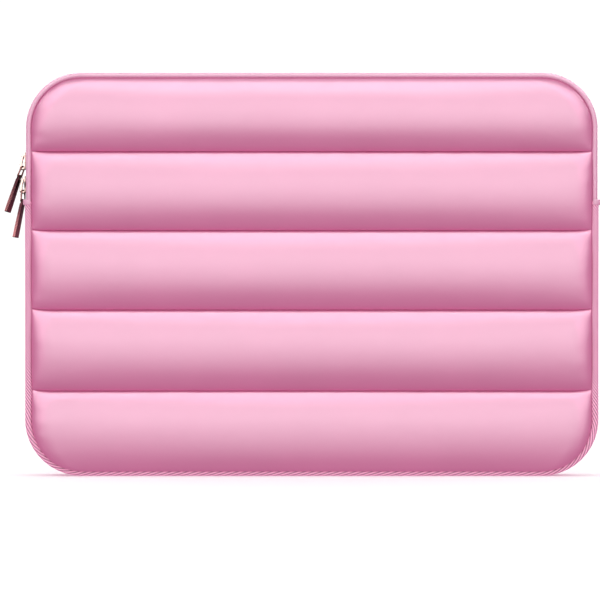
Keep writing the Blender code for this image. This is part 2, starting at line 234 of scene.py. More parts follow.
def sweep(name, path, profile, material, relief=None, smooth_angle=60):
    """A closed profile carried along the outline. relief(length, across) pushes it outwards.

    The mesh keeps the relief's height as an attribute, which the twill reads to paint shade into
    its grooves."""
    points, normals, lengths = path
    push = np.zeros((len(points), len(profile)))
    if relief:
        across, _ = profile_lengths(profile)
        push = relief(lengths[:, None], across[None, :])
    direction = profile_normals(profile)
    inset = profile[None, :, 0] + push * direction[None, :, 0]
    depth = profile[None, :, 1] + push * direction[None, :, 1]
    grid = place(points[:, None, :], normals[:, None, :], inset, depth)
    faces = tube_faces(len(points), len(profile))
    piece = add_mesh(name, grid.reshape(-1, 3), faces, material, smooth_angle)
    # a rib's height as a level of painted shade: low, and dark, in the grooves
    height = np.clip(RELIEF_MIDDLE + RELIEF_SLOPE * push / RELIEF, 0, 1)
    piece.data.attributes.new("relief", "FLOAT", "POINT").data.foreach_set("value", height.ravel())
    return piece


def half_width(z, inset):
    radius = CORNER_RADIUS - inset
    reach = np.maximum(np.maximum(CORNER_RADIUS - z, z - (HEIGHT - CORNER_RADIUS)), 0)
    return WIDTH / 2 - CORNER_RADIUS + np.sqrt(np.maximum(radius**2 - reach**2, 0))


# ---- materials ----------------------------------------------------------------------------
def new_material(name, colour, roughness, metallic=0.0, specular=0.5):
    material = bpy.data.materials.new(name)
    material.use_nodes = True
    shader = material.node_tree.nodes["Principled BSDF"]
    shader.inputs["Base Color"].default_value = (*colour, 1)
    shader.inputs["Roughness"].default_value = roughness
    shader.inputs["Metallic"].default_value = metallic
    shader.inputs["Specular IOR Level"].default_value = specular
    return material, material.node_tree, shader


def calendered(shader):
    """The stronger gloss of pressed nylon."""
    shader.inputs["Specular IOR Level"].default_value = 1.0


def object_coordinates(tree, scale=(1, 1, 1), turn=(0, 0, 0)):
    coordinates = tree.nodes.new("ShaderNodeTexCoord")
    mapping = tree.nodes.new("ShaderNodeMapping")
    mapping.inputs["Scale"].default_value = scale
    mapping.inputs["Rotation"].default_value = [math.radians(a) for a in turn]
    tree.links.new(coordinates.outputs["Object"], mapping.inputs["Vector"])
    return mapping.outputs["Vector"]


def noise_node(tree, scale, detail=2.0, vector=None):
    node = tree.nodes.new("ShaderNodeTexNoise")
    node.inputs["Scale"].default_value = scale
    node.inputs["Detail"].default_value = detail
    tree.links.new(vector or object_coordinates(tree), node.inputs["Vector"])
    return node.outputs["Fac"]


def wave_node(tree, pitch, direction, vector=None, distortion=0.0):
    """Parallel bands, pitch apart."""
    node = tree.nodes.new("ShaderNodeTexWave")
    node.bands_direction = direction
    node.inputs["Scale"].default_value = 2 * math.pi / (20 * pitch)
    node.inputs["Distortion"].default_value = distortion
    tree.links.new(vector or object_coordinates(tree), node.inputs["Vector"])
    return node.outputs["Fac"]


def math_node(tree, operation, first, second):
    node = tree.nodes.new("ShaderNodeMath")
    node.operation = operation
    for socket, value in zip(node.inputs, (first, second)):
        if isinstance(value, (int, float)):
            socket.default_value = value
        else:
            tree.links.new(value, socket)
    return node.outputs["Value"]


def spread(tree, value, low, high):
    """Maps 0..1 to low..high."""
    node = tree.nodes.new("ShaderNodeMapRange")
    node.inputs["To Min"].default_value = low
    node.inputs["To Max"].default_value = high
    tree.links.new(value, node.inputs["Value"])
    return node.outputs["Result"]


def tint(tree, shader, colour, value, low, high, deep=None):
    """Base colour times a factor from low to high, by value. deep is used instead of low."""
    mix = tree.nodes.new("ShaderNodeMix")
    mix.data_type = "RGBA"
    mix.inputs["A"].default_value = (*(deep or (c * low for c in colour)), 1)
    mix.inputs["B"].default_value = (*(min(c * high, 1) for c in colour), 1)
    tree.links.new(value, mix.inputs["Factor"])
    tree.links.new(mix.outputs["Result"], shader.inputs["Base Color"])


def bump(tree, shader, height, distance, strength=1.0):
    node = tree.nodes.new("ShaderNodeBump")
    node.inputs["Strength"].default_value = strength
    node.inputs["Distance"].default_value = distance
    tree.links.new(height, node.inputs["Height"])
    tree.links.new(node.outputs["Normal"], shader.inputs["Normal"])


def satin_nylon():
    """Tightly woven satin nylon: fine crossed threads, a broad soft gloss and faint mottling."""
    material, tree, shader = new_material("satin_nylon", SATIN_PINK, SATIN_ROUGHNESS[0])
    along = wave_node(tree, SATIN_WEAVE, "X")
    across = wave_node(tree, SATIN_WEAVE, "Z")
    weave = math_node(tree, "MULTIPLY", along, across)
    crinkle = noise_node(tree, 160, 4)
    height = math_node(tree, "ADD", weave, math_node(tree, "MULTIPLY", crinkle, 1.5))
    bump(tree, shader, height, 0.016 * MM)
    mottle = noise_node(tree, 22, 3)
    tint(tree, shader, SATIN_PINK, mottle, 0.94, 1.06)
    calendered(shader)
    gloss = spread(tree, noise_node(tree, 60, 2), *SATIN_ROUGHNESS)
    tree.links.new(gloss, shader.inputs["Roughness"])
    return material


def twill(name, colour, thread, roughness, lean, groove=None):
    """Woven tape with a diagonal rib; thread is the rib's pitch and lean its direction.

    groove is painted shade: the darker colour put down between the modelled ribs, if the tape has
    any."""
    material, tree, shader = new_material(name, colour, roughness)
    calendered(shader)
    turned = object_coordinates(tree, turn=(0, lean, 0))
    rib = wave_node(tree, thread, "X", vector=turned)
    fibre = noise_node(tree, 2600, 3)
    height = math_node(tree, "ADD", rib, math_node(tree, "MULTIPLY", fibre, 0.5))
    bump(tree, shader, height, 0.04 * MM)
    shade = math_node(tree, "ADD", math_node(tree, "MULTIPLY", fibre, 0.5),
                      math_node(tree, "MULTIPLY", noise_node(tree, 300, 3), 0.5))
    # painted shade: the colour runs down to groove where the rib's height is low
    if groove:
        relief = tree.nodes.new("ShaderNodeAttribute")
        relief.attribute_name = "relief"
        shade = math_node(tree, "MULTIPLY", relief.outputs["Fac"], spread(tree, shade, 0.7, 1.3))
    tint(tree, shader, colour, shade, 0.92, 1.1, deep=groove)
    shader.inputs["Sheen Weight"].default_value = 0.12
    shader.inputs["Sheen Roughness"].default_value = 0.3
    return material


def brushed_lining():
    """Short-napped lining cloth."""
    material, tree, shader = new_material("brushed_lining", LINING_PINK, 0.9, specular=0.2)
    nap = noise_node(tree, 1800, 4)
    bump(tree, shader, nap, 0.12 * MM)
    tint(tree, shader, LINING_PINK, noise_node(tree, 90, 4), 0.9, 1.1)
    shader.inputs["Sheen Weight"].default_value = 0.4
    shader.inputs["Sheen Roughness"].default_value = 0.5
    return material


def spun_thread():
    material, tree, shader = new_material("spun_thread", THREAD_PINK, 0.6)
    strands = noise_node(tree, 4000, 2)
    bump(tree, shader, strands, 0.04 * MM)
    tint(tree, shader, THREAD_PINK, strands, 0.85, 1.15)
    return material


def nylon_coil():
    material, tree, shader = new_material("nylon_coil", COIL_PINK, 0.32)
    cloud = noise_node(tree, 500, 2)
    tint(tree, shader, COIL_PINK, cloud, 0.93, 1.07)
    bump(tree, shader, cloud, 0.02 * MM)
    return material


def plated_metal(name, colour, roughness, tip=None):
    """Plating with fine polishing marks. Its colour runs to tip, if given, at the lower end: a
    painted reflection.
    """
    material, tree, shader = new_material(name, colour, roughness, metallic=1.0)
    stretched = object_coordinates(tree, scale=(1, 1, 0.08))
    marks = noise_node(tree, 5200, 3, vector=stretched)
    bump(tree, shader, marks, 0.006 * MM)
    if tip:
        # painted reflection: a ramp by height, from colour at the top to tip at the lower end
        whole = tree.nodes.new("ShaderNodeTexCoord")
        parts = tree.nodes.new("ShaderNodeSeparateXYZ")
        tree.links.new(whole.outputs["Generated"], parts.inputs["Vector"])
        ramp = tree.nodes.new("ShaderNodeValToRGB")
        ramp.color_ramp.elements[0].position = 0.15
        ramp.color_ramp.elements[0].color = (*tip, 1)
        ramp.color_ramp.elements[1].position = 0.72
        ramp.color_ramp.elements[1].color = (*colour, 1)
        uneven = math_node(tree, "MULTIPLY", spread(tree, marks, 0.9, 1.1), parts.outputs["Z"])
        tree.links.new(uneven, ramp.inputs["Fac"])
        tree.links.new(ramp.outputs["Color"], shader.inputs["Base Color"])
    else:
        tint(tree, shader, colour, noise_node(tree, 700, 2), 0.9, 1.1)
    uneven = spread(tree, marks, roughness * 0.8, roughness * 1.3)
    tree.links.new(uneven, shader.inputs["Roughness"])
    return material


def floor_paper():
    material, tree, shader = new_material("floor_paper", FLOOR_WHITE, 1.0, specular=0.0)
    tint(tree, shader, FLOOR_WHITE, noise_node(tree, 400, 2), 0.995, 1.005)
    shader.inputs["Emission Color"].default_value = (1, 1, 1, 1)
    shader.inputs["Emission Strength"].default_value = 0.16
    return material


# ---- quilted panels -----------------------------------------------------------------------
def panel_rows():
    """(height, puff, sag) for each mesh row of a panel."""
    edges = (PANEL_TUCK, *SEAM_HEIGHTS, HEIGHT - PANEL_TUCK)
    rows = []
    for channel, (below, above) in enumerate(zip(edges, edges[1:])):
        last = channel == len(edges) - 2
        for step in range(CHANNEL_STEPS + last):
            turn = math.pi * (step / CHANNEL_STEPS - 0.5)
            middle, half = (below + above) / 2, (above - below) / 2
            sag = CHANNEL_SAGS[channel] * math.cos(turn) * (1 - math.sin(turn)) / 2
            rows.append((middle + half * math.sin(turn), math.cos(turn), sag))
    return np.array(rows)


def noise_field(x, z, scale_x, scale_z, seed):
    places = zip(x.ravel(), z.ravel())
    found = [noise.noise(Vector((a * scale_x, b * scale_z, seed))) for a, b in places]
    return np.array(found).reshape(x.shape)


def puffed(rows, u, seed):
    """Points of a puffed panel facing -Y, as (rows, columns, 3), and how puffed each one is."""
    z, puff, sag = (rows[:, k][:, None] for k in range(3))
    width = half_width(z, PANEL_TUCK)
    x = width * u[None, :]
    side = width - np.abs(x)
    roll = np.sqrt(1 - (1 - np.clip(side / SIDE_ROLL, 0, 1)) ** 2)
    swell = puff * roll
    z_all = z + np.zeros_like(x)
    near_seam = np.clip(1 - puff / 0.75, 0, 1) * np.clip(side / (3 * MM), 0, 1)
    # gathers at the seams, puckers at the sides, and the fill's own unevenness
    gathers = noise_field(x, z_all, 95, 14, seed) * 0.3 * MM * near_seam
    gathers += noise_field(x, z_all, 22, 150, seed + 4.6) * 0.7 * MM * np.exp(-side / (6 * MM))
    gathers += noise_field(x, z_all, 16, 24, seed + 9.2) * 0.3 * MM
    depth = SEAM_DEPTH + (PANEL_CROWN - SEAM_DEPTH) * swell + gathers * np.clip(swell * 6, 0, 1)
    return np.stack([x, -depth, z_all - sag * roll], axis=-1), swell


def cloth_moves(seed):
    """How far an inflated, stitched-down cloth moves from the puffed shape, on a coarse even grid.

    Returns the grid's heights, its columns (-1 to 1) and the moves, as (rows, columns, 3)."""
    fine = panel_rows()
    heights = np.arange(fine[0, 0], fine[-1, 0], CLOTH_CELL)
    heights = np.sort(np.concatenate([heights, SEAM_HEIGHTS, fine[-1:, 0]]))
    heights = heights[np.concatenate([[True], np.diff(heights) > 0.4 * MM])]
    puffs, sags = (np.interp(heights, fine[:, 0], fine[:, k]) for k in (1, 2))
    rows = np.stack([heights, puffs, sags], axis=1)
    u = np.linspace(-1, 1, round(2 * half_width(HEIGHT / 2, PANEL_TUCK) / CLOTH_CELL))
    start, swell = puffed(rows, u, seed)
    mesh = bpy.data.meshes.new("cloth")
    mesh.from_pydata(start.reshape(-1, 3).tolist(), [], grid_faces(len(rows), len(u)))
    cloth = bpy.data.objects.new("cloth", mesh)
    bpy.context.scene.collection.objects.link(cloth)
    held = cloth.vertex_groups.new(name="stitched")
    held.add([int(i) for i in np.flatnonzero(swell.ravel() < STITCHED_SWELL)], 1.0, "REPLACE")
    modifier = cloth.modifiers.new("cloth", "CLOTH")
    settings = modifier.settings
    settings.quality = 5
    settings.mass = 0.15
    settings.tension_stiffness = 12
    settings.compression_stiffness = 12
    settings.shear_stiffness = 6
    settings.bending_stiffness = 4.0
    settings.vertex_group_mass = "stitched"
    settings.use_pressure = True
    settings.uniform_pressure_force = 4
    settings.effector_weights.gravity = 0
    for frame_number in range(1, CLOTH_FRAMES + 1):
        bpy.context.scene.frame_set(frame_number)
    graph = bpy.context.evaluated_depsgraph_get()
    result = cloth.evaluated_get(graph).to_mesh()
    ends = np.array([vert.co for vert in result.vertices]).reshape(start.shape)
    bpy.data.objects.remove(cloth, do_unlink=True)
    bpy.context.scene.frame_set(1)
    moves = ends - start
    length = np.linalg.norm(moves, axis=-1, keepdims=True)
    return heights, u, moves * CLOTH_CAP * np.tanh(length / CLOTH_CAP) / np.maximum(length, 1e-9)


def sampled(heights, columns, moves, rows, u):
    """The coarse moves, read at finer rows and columns."""
    across = np.empty((len(heights), len(u), 3))
    for i in range(len(heights)):
        for k in range(3):
            across[i, :, k] = np.interp(u, columns, moves[i, :, k])
    full = np.empty((len(rows), len(u), 3))
    for j in range(len(u)):
        for k in range(3):
            full[:, j, k] = np.interp(rows, heights, across[:, j, k])
    return full


def panel_grid(seed):
    """Points of one puffed panel facing -Y, as (rows, columns, 3)."""
    rows = panel_rows()
    u = np.linspace(-1, 1, PANEL_COLUMNS + 1)
    u = 0.45 * u + 0.55 * np.sin(u * math.pi / 2)
    grid, _ = puffed(rows, u, seed)
    grid = grid + sampled(*cloth_moves(seed), rows[:, 0], u)
    return grid


def panel_body(name, grid, material):
    """Closes a puffed sheet with side walls and a flat inner side of one strip for each row."""
    rows, columns = grid.shape[:2]
    points = grid.reshape(-1, 3)
    inner = []
    for column in (0, columns - 1):
        edge = grid[:, column].copy()
        edge[:, 1] = -PANEL_ROOT
        inner.append(edge)
    left, right = len(points), len(points) + rows
    points = np.concatenate([points, *inner])
    faces = grid_faces(rows, columns)
    for i in range(rows - 1):
        a, b = i * columns, (i + 1) * columns
        faces.append((a, b, left + i + 1, left + i))
        faces.append((a + columns - 1, right + i, right + i + 1, b + columns - 1))
        faces.append((left + i, left + i + 1, right + i + 1, right + i))
    faces.append((*range(columns), right, left))
    top = (rows - 1) * columns
    faces.append((*range(top, top + columns), right + rows - 1, left + rows - 1))
    return add_mesh(name, points, faces, material, smooth_angle=55)


def turned_round(grid):
    """The same panel facing +Y."""
    return grid * np.array((1, -1, 1))


def fold(piece):
    """Bakes a front piece's placement into its mesh."""
    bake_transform(piece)


def make_panels(material):
    front = panel_body("front_quilted_panel", panel_grid(3.1), material)
    fold(front)
    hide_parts("front_pocket_shell", "front_flap_shell",
                "front_pocket_wadding", "front_flap_wadding")
    back = panel_body("back_quilted_panel", turned_round(panel_grid(31.7)), material)
    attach(back, "pocket")
    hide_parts("back_shell", "back_wadding")


# ---- binding and lip ----------------------------------------------------------------------
def twill_relief(lengths):
    """Slanting ribs along the binding, broken into dashes where it runs straight up the sides.

    Round the corners and along the bottom the tape is stretched, so its ribs are long."""
    pitch, short_lay, long_lay, dash = 1.7 * MM, 2.1 * MM, 5.2 * MM, 1.6 * MM
    whole = lengths[-1]
    end = np.minimum(lengths, whole - lengths)
    sides = ZIP_END - CORNER_RADIUS
    upright = np.clip((sides + 8 * MM - end) / (25 * MM), 0, 1)
    lay = 1 / (upright / short_lay + (1 - upright) / long_lay)
    turns = np.concatenate([[0], np.cumsum(np.diff(lengths) / lay[1:])])[:, None]
    upright, end = upright[:, None], end[:, None]
    fold_up = 0.3 * MM * np.exp(-(((end - 1.6 * MM) / (1.3 * MM)) ** 2))
    fold_up = fold_up - 0.9 * MM * np.exp(-end / (0.35 * MM))

    def relief(length, across):
        rib = np.abs(np.sin(math.pi * (turns + across / pitch))) ** 1.2
        knit = 0.5 + 0.5 * np.sin(2 * math.pi * (length / dash - across / (2.1 * pitch)))
        return RELIEF * (rib - 0.6) - 0.15 * RELIEF * knit * upright + fold_up

    return relief


def lip_relief(length, across):
    """Slight pulls where the lip is sewn down."""
    stitch, whole = 2.8 * MM, 13 * MM
    along = np.sin(length * 2 * math.pi / stitch)
    return 0.06 * MM * along * np.sin(across * 2 * math.pi / whole)


def visible_turns(side, fine, coarse):
    """Angles round a profile: many on the outer side and the face, which show, few behind."""
    seen = np.linspace(-0.15 * math.pi, 1.2 * math.pi, fine)
    hidden = np.linspace(1.2 * math.pi, 1.85 * math.pi, coarse + 2)[1:-1]
    turns = np.concatenate([seen, hidden])
    return turns if side > 0 else -turns


def make_edges(twill_material, lip_material):
    middle = (EDGE_INNER + EDGE_OUTER) / 2
    lower = outline(False, ZIP_END, 0.7 * MM, 0.3 * MM)
    upper = outline(True, ZIP_END - 2.5 * MM, 1.0 * MM)
    for word, side in (("front", -1), ("back", 1)):
        turns = visible_turns(side, 54, 8)
        tape = superellipse(2.2 * MM, side * middle, 2.1 * MM, 2.1 * MM, 2.5, turns)
        ribs = twill_relief(lower[2])
        binding = sweep(word + "_twill_binding", lower, tape, twill_material, ribs)
        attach(binding, "pocket")
        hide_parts(word + "_binding")
        turns = visible_turns(side, 24, 6)
        roll = superellipse(2.5 * MM, side * middle, 1.85 * MM, 2.0 * MM, 2.1, turns)
        lip = sweep(word + "_rolled_lip", upper, roll, lip_material, lip_relief)
        if word == "front":
            fold(lip)
            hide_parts("front_lip_left", "front_lip_right", "front_lip_top")
        else:
            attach(lip, "pocket")
            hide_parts("back_lip")


# ---- gusset, linings and zip --------------------------------------------------------------
def band_profile(inset, thickness, y_low, y_high, count=12):
    """A flat strip's closed profile with enough points to wave."""
    ys = np.linspace(y_low, y_high, count)
    outer = [(inset, y) for y in ys]
    inner = [(inset + thickness, y) for y in ys[::-1]]
    return np.array(outer + inner)


def make_gusset(shell_material, lining_material):
    path = outline(False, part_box("gusset_shell")[1][2], 1.6 * MM)
    tuck = GUSSET_HALF + 0.8 * MM
    profile = band_profile(0.25 * MM, 0.9 * MM, -tuck, tuck, 15)

    def wavy(length, across):
        return 0.12 * MM * (np.sin(length * 210) * np.sin(across * 700) - 1)

    strip = sweep("gusset_strip", path, profile, shell_material, wavy)
    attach(strip, "pocket")
    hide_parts("gusset_shell")
    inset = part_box("gusset_lining")[0][0] + WIDTH / 2
    profile = band_profile(inset, 0.7 * MM, -GUSSET_HALF, GUSSET_HALF, 8)
    inner = sweep("gusset_lining_strip", path, profile, lining_material)
    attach(inner, "pocket")
    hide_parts("gusset_lining")


def make_linings(material):
    low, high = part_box("back_lining")
    rounded = 32 * MM  # height of the rounded corners, where the rows lie closer
    rows = np.concatenate([np.linspace(low[2], low[2] + rounded, 14)[:-1],
                           np.linspace(low[2] + rounded, high[2] - rounded, 60),
                           np.linspace(high[2] - rounded, high[2], 14)[1:]])
    u = np.linspace(-1, 1, 110)[None, :]
    z = rows[:, None]
    x = half_width(z, PANEL_INSET) * u
    z_all = z + 0 * x
    wave = noise_field(x, z_all, 18, 20, 5) * 0.25 * MM
    near, far = low[1] + 0.15 * MM, high[1] - 0.15 * MM
    for word, side in (("front", -1), ("back", 1)):
        faces_at = [side * (level + np.minimum(wave, 0.1 * MM)) for level in (near, far)]
        layers = [np.stack([x, y, z_all], -1).reshape(-1, 3) for y in faces_at]
        n_rows, n_columns = x.shape
        count = n_rows * n_columns
        faces = grid_faces(n_rows, n_columns) + grid_faces(n_rows, n_columns, start=count)
        ring = list(range(n_columns))
        ring += [i * n_columns + n_columns - 1 for i in range(1, n_rows)]
        ring += [(n_rows - 1) * n_columns + j for j in range(n_columns - 2, -1, -1)]
        ring += [i * n_columns for i in range(n_rows - 2, 0, -1)]
        for a, b in zip(ring, ring[1:] + ring[:1]):
            faces.append((a, b, b + count, a + count))
        lining = add_mesh(word + "_lining_cloth", np.concatenate(layers), faces, material)
        if word == "front":
            fold(lining)
            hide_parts("front_pocket_lining", "front_flap_lining")
        else:
            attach(lining, "pocket")
            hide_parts("back_lining")


def tooth_points(centre, along, out, sign):
    """Rings of one coil tooth. It reaches from its tape past the zip's middle line."""
    rings = ((3.15, 0.30, 0.62), (2.5, 0.42, 0.95), (1.0, 0.40, 1.05), (0.25, 0.46, 1.10),
             (-0.25, 0.60, 1.05), (-0.62, 0.42, 0.72))
    found = []
    for across, wide, high in rings:
        for k in range(8):
            turn = math.pi * (k + 0.5) / 4
            y = sign * across * MM
            shift = along * wide * MM * math.cos(turn) + out * high * MM * math.sin(turn)
            found.append((centre[0] + shift[0], y, centre[1] + shift[1]))
    return found


def make_zip(tape_material, coil_material):
    tape_low, tape_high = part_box("zip_tape_back")
    foot = tape_low[2]
    inset = tape_low[0] + WIDTH / 2
    coil_middle = (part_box("zip_coil_back")[0][0] + WIDTH / 2) + 1.2 * MM
    tooth_step = 0.68 * MM  # from a front tooth to the next back tooth
    path = outline(True, foot - 4 * MM, 1.6 * MM)
    points, normals, _ = outline(True, foot + 0.5 * MM, tooth_step)
    for word, side in (("front", -1), ("back", 1)):
        edges = sorted((side * 2.2 * MM, side * (tape_high[1] + 0.8 * MM)))
        tape = sweep("zip_tape_" + word + "_cloth", path,
                     band_profile(inset, 0.55 * MM, *edges, 8), tape_material)
        first = 0 if side < 0 else 1
        rows, faces = [], []
        for index in range(first, len(points), 2):
            normal = normals[index]
            centre = points[index] - normal * coil_middle
            along = np.array((-normal[1], normal[0]))
            faces += tube_faces(6, 8, start=len(rows))
            rows += tooth_points(centre, along, normal, side)
        teeth = add_mesh("zip_teeth_" + word, rows, faces, coil_material, smooth_angle=60)
        for piece, kind in ((tape, "zip_tape"), (teeth, "zip_coil")):
            if word == "front":
                fold(piece)
                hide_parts(*(f"{kind}_front_{where}" for where in ("left", "right", "top")))
            else:
                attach(piece, "pocket")
                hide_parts(kind + "_back")


def make_end_tabs(material):
    """A folded strap over each end of the zip, from the front binding round to the back one."""
    low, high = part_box("zip_end_tab_left")
    middle, half = (low[2] + high[2]) / 2 - 0.9 * MM, 1.7 * MM
    outer, face = WIDTH / 2 + 0.75 * MM, EDGE_OUTER + 0.35 * MM
    bends = [
        (outer - 4.2 * MM, -face),
        (outer - 2.2 * MM, -face - 0.1 * MM),
        (outer - 0.6 * MM, -face + 0.8 * MM),
        (outer, -face + 2.6 * MM),
        (outer, -GUSSET_HALF / 2),
    ]
    half_path = smooth_path(bends, 6)
    path = np.array(half_path + [(x, -y) for x, y in half_path[::-1]])
    tangent = np.gradient(path, axis=0)
    tangent /= np.linalg.norm(tangent, axis=1, keepdims=True)
    normal = np.stack([tangent[:, 1], -tangent[:, 0]], axis=1)
    profile = superellipse(0, 0, 0.42 * MM, half, 3.0, even_turns(28))
    for word, mirror in (("left", -1), ("right", 1)):
        rows = []
        for index, (point, n) in enumerate(zip(path, normal)):
            for out, up in profile:
                weave = 0.05 * MM * math.sin(up * 5200) * math.sin(index * 1.3)
                reach = out + math.copysign(weave, out)
                x, y = point + n * reach
                rows.append((mirror * x, y, middle + up))
        faces = tube_faces(len(path), len(profile))
        tab = add_mesh("folded_end_tab_" + word, rows, faces, material, 60)
        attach(tab, "pocket")
        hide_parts("zip_end_tab_" + word)


# ---- stitches -----------------------------------------------------------------------------
def stitch_rings(start, end, up, sides=6):
    """A short thread that comes up out of the cloth and goes down again."""
    radius = STITCH_RADIUS
    start, end, up = (np.array(v, float) for v in (start, end, up))
    axis = end - start
    across = np.cross(axis, up)
    across /= np.linalg.norm(across)
    found = []
    for step in range(5):
        t = step / 4
        lift = STITCH_RISE * math.sin(math.pi * t) - radius * (t in (0, 1))
        thick = radius * (0.7 if step in (0, 4) else 1)
        centre = start + axis * t + up * lift
        for k in range(sides):
            turn = 2 * math.pi * k / sides
            found.append(centre + thick * (across * math.cos(turn) + up * math.sin(turn)))
    return found


def add_stitches(name, pairs, material):
    rows, faces = [], []
    for start, end, up in pairs:
        faces += tube_faces(5, 6, start=len(rows))
        rows += stitch_rings(start, end, up)
    piece = add_mesh(name, rows, faces, material, smooth_angle=70)
    return piece


def edge_stitches(side):
    """Along the inner edge of the binding and the lip."""
    pitch, length = 2.9 * MM, 2.1 * MM
    inset, depth = 3.45 * MM, side * (EDGE_OUTER - 0.35 * MM)
    pairs = []
    for upper in (False, True):
        points, normals, _ = outline(upper, ZIP_END, pitch)
        for a, b, n in zip(points, points[1:], normals):
            reach = (b - a) * (length / pitch)
            (x, z), (end_x, end_z) = (p - n * inset for p in (a, a + reach))
            pairs.append(((x, depth, z), (end_x, depth, end_z), (0, side, 0)))
    return pairs


def seam_stitches(side):
    """Along each quilting seam, down in the groove."""
    pitch, length = 3.0 * MM, 2.3 * MM
    pairs = []
    for seam in SEAM_HEIGHTS:
        reach = float(half_width(np.array(seam), PANEL_INSET)) - 2 * MM
        for index in range(int(2 * reach / pitch)):
            x = -reach + index * pitch
            depth = side * SEAM_DEPTH
            pairs.append(((x, depth, seam), (x + length, depth, seam), (0, side, 0)))
    return pairs


def make_stitches(material):
    for word, side in (("front", -1), ("back", 1)):
        for kind, found in (("edge", edge_stitches(side)), ("seam", seam_stitches(side))):
            piece = add_stitches(f"{word}_{kind}_stitches", found, material)
            if word == "front":
                fold(piece)
            else:
                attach(piece, "pocket")


# ---- sliders and pulls --------------------------------------------------------------------
def smooth_curve_object(name, outline_points, thickness, rounding, material, at):
    """A flat shape in (x, z) or (y, z) with rounded edges, made as a bevelled 2-D curve."""
    curve = bpy.data.curves.new(name, "CURVE")
    curve.dimensions = "2D"
    curve.fill_mode = "BOTH"
    curve.extrude = thickness / 2 - rounding
    curve.bevel_depth = rounding
    curve.bevel_resolution = 3
    curve.offset = -rounding
    spline = curve.splines.new("POLY")
    spline.points.add(len(outline_points) - 1)
    for point, (a, b) in zip(spline.points, outline_points):
        point.co = (a, b, 0, 1)
    spline.use_cyclic_u = True
    obj = bpy.data.objects.new(name, curve)
    obj.matrix_world = at
    bpy.context.scene.collection.objects.link(obj)
    bpy.context.view_layer.update()
    graph = bpy.context.evaluated_depsgraph_get()
    mesh = bpy.data.meshes.new_from_object(obj.evaluated_get(graph))
    mesh.transform(obj.matrix_world)
    bpy.data.objects.remove(obj, do_unlink=True)
    mesh.materials.clear()
    mesh.materials.append(material)
    made = bpy.data.objects.new(name, mesh)
    bpy.context.scene.collection.objects.link(made)
    return made


def rounded_outline(corners, radius, steps=5):
    """A polygon with its corners rounded by arcs."""
    found = []
    count = len(corners)
    for i, here in enumerate(corners):
        here = Vector(here)
        before = (Vector(corners[i - 1]) - here).normalized()
        after = (Vector(corners[(i + 1) % count]) - here).normalized()
        start, end = here + before * radius, here + after * radius
        for k in range(steps + 1):
            t = k / steps
            found.append(tuple(start * (1 - t) ** 2 + here * 2 * t * (1 - t) + end * t**2))
    return found


def joined(name, pieces):
    """Several closed shapes as one object."""
    bm = bmesh.new()
    for piece in pieces:
        bm.from_mesh(piece.data)
        first = piece.data.materials[0]
    bmesh.ops.remove_doubles(bm, verts=bm.verts, dist=1e-7)
    mesh = bpy.data.meshes.new(name)
    bm.to_mesh(mesh)
    bm.free()
    mesh.materials.append(first)
    for piece in pieces:
        bpy.data.objects.remove(piece, do_unlink=True)
    mesh.shade_smooth()
    mesh.set_sharp_from_angle(angle=math.radians(35))
    obj = bpy.data.objects.new(name, mesh)
    bpy.context.scene.collection.objects.link(obj)
    return obj


def strap(name, path, width, thickness, material):
    """A rounded strap along a path of (x, z) points, centred on y = 0."""
    path = np.array(path)
    tangent = np.gradient(path, axis=0)
    tangent /= np.linalg.norm(tangent, axis=1, keepdims=True)
    normal = np.stack([-tangent[:, 1], tangent[:, 0]], axis=1)
    profile = superellipse(0, 0, thickness / 2, width / 2, 4, even_turns(20))
    rows = []
    for point, n in zip(path, normal):
        for a, b in profile:
            rows.append((point[0] + n[0] * a, b, point[1] + n[1] * a))
    return add_mesh(name, rows, tube_faces(len(path), len(profile)), material, 50)


def standing(x):
    """Places a curve drawn in (y, z) upright in the plane at x, extruded along X."""
    upright = Matrix(((0, 0, 1, 0), (1, 0, 0, 0), (0, 1, 0, 0), (0, 0, 0, 1)))
    return Matrix.Translation((x, 0, 0)) @ upright


def smooth_path(corners, steps):
    """Catmull-Rom curve through (x, z) points."""
    points = [Vector(corners[0]), *(Vector(c) for c in corners), Vector(corners[-1])]
    found = []
    for a, b, c, d in zip(points, points[1:], points[2:], points[3:]):
        for k in range(steps):
            t = k / steps
            found.append(tuple(0.5 * (2 * b + (c - a) * t + (2 * a - 5 * b + 4 * c - d) * t * t
                                      + (3 * b - a - 3 * c + d) * t**3)))
    found.append(tuple(points[-1]))
    return found


